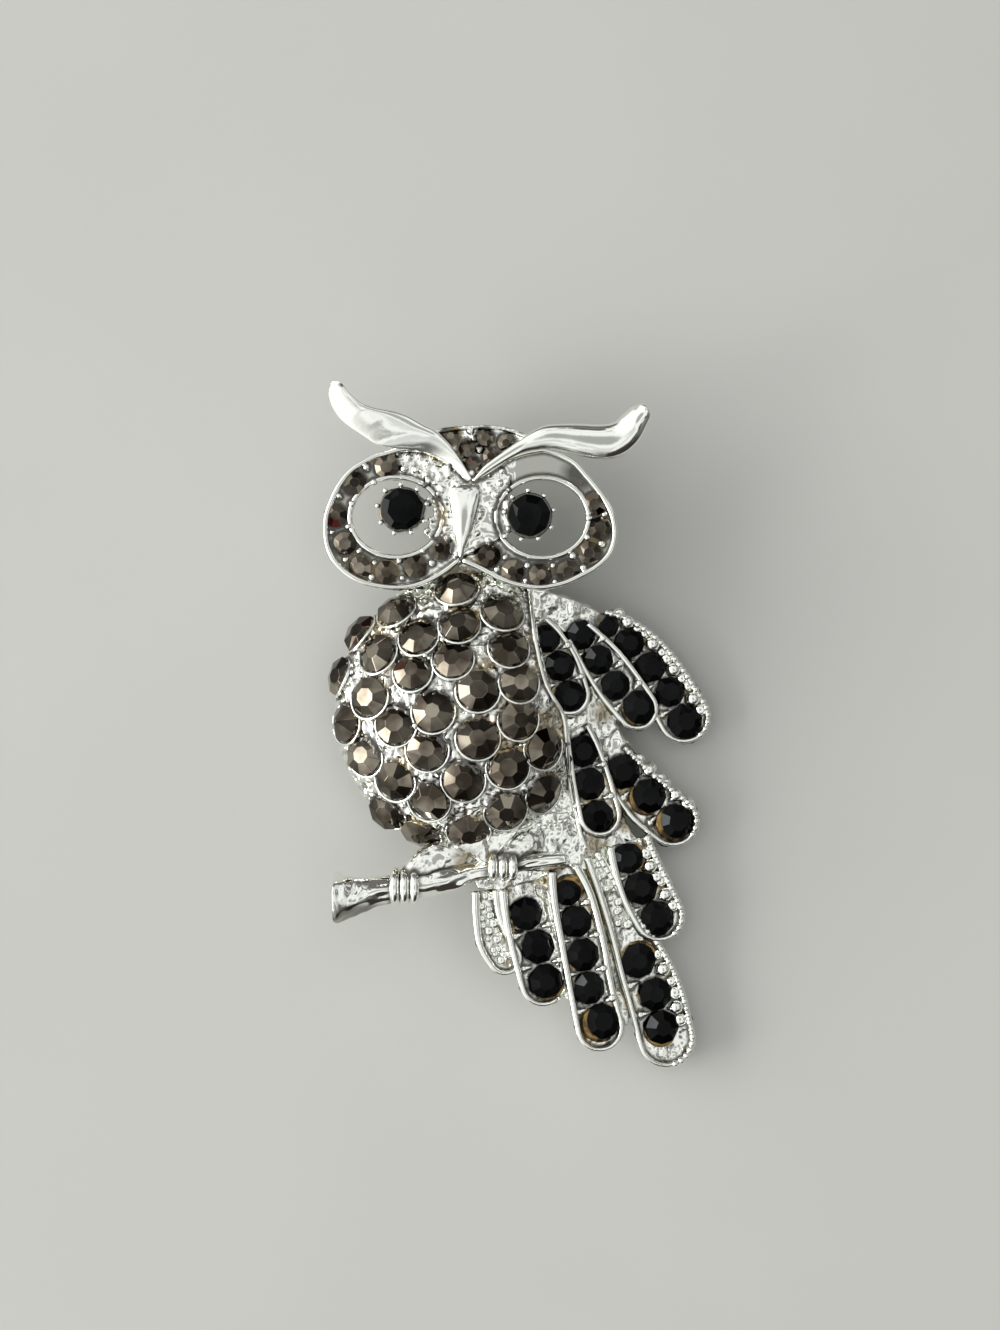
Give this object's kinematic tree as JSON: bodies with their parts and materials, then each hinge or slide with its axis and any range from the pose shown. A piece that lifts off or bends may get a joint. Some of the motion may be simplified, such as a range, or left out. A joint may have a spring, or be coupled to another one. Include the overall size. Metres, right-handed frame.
{
  "type": "figural owl brooch",
  "caption": "Cast owl on a branch set with faceted stones, with a hollow domed belly and a pin back that fastens it to cloth.",
  "frame": {"origin": "on the surface that the brooch lies on, at the middle of its outline", "axes": "+Z out of the owl's front, +Y towards its head, +X to the viewer's right"},
  "size_m": [0.0353, 0.0622, 0.0114],
  "materials": {
    "plated_metal": "polished cast relief",
    "smoky_stone": "faceted, foiled",
    "black_stone": "faceted"
  },
  "bodies": {
    "root": {"casting": "plated_metal", "clasp": "plated_metal", "eye_stone_left": "black_stone", "eye_stone_right": "black_stone", "belly_stone_01": "smoky_stone", "belly_stone_02": "smoky_stone", "belly_stone_03": "smoky_stone", "belly_stone_04": "smoky_stone", "belly_stone_05": "smoky_stone", "belly_stone_06": "smoky_stone", "belly_stone_07": "smoky_stone", "belly_stone_08": "smoky_stone", "belly_stone_09": "smoky_stone", "belly_stone_10": "smoky_stone", "belly_stone_11": "smoky_stone", "belly_stone_12": "smoky_stone", "belly_stone_13": "smoky_stone", "belly_stone_14": "smoky_stone", "belly_stone_15": "smoky_stone", "belly_stone_16": "smoky_stone", "belly_stone_17": "smoky_stone", "belly_stone_18": "smoky_stone", "belly_stone_19": "smoky_stone", "belly_stone_20": "smoky_stone", "belly_stone_21": "smoky_stone", "belly_stone_22": "smoky_stone", "belly_stone_23": "smoky_stone", "belly_stone_24": "smoky_stone", "belly_stone_25": "smoky_stone", "belly_stone_26": "smoky_stone", "belly_stone_27": "smoky_stone", "belly_stone_28": "smoky_stone", "belly_stone_29": "smoky_stone", "belly_stone_30": "smoky_stone", "belly_stone_31": "smoky_stone", "mask_stones_left": "smoky_stone", "mask_stones_right": "smoky_stone", "crown_stones": "smoky_stone", "feather_stones_1": "black_stone", "feather_stones_2": "black_stone", "feather_stones_3": "black_stone", "feather_stones_4": "black_stone", "feather_stones_5": "black_stone", "feather_stones_6": "black_stone", "feather_stones_7": "black_stone", "feather_stones_8": "black_stone", "feather_stones_9": "black_stone"}
  },
  "joints": []
}
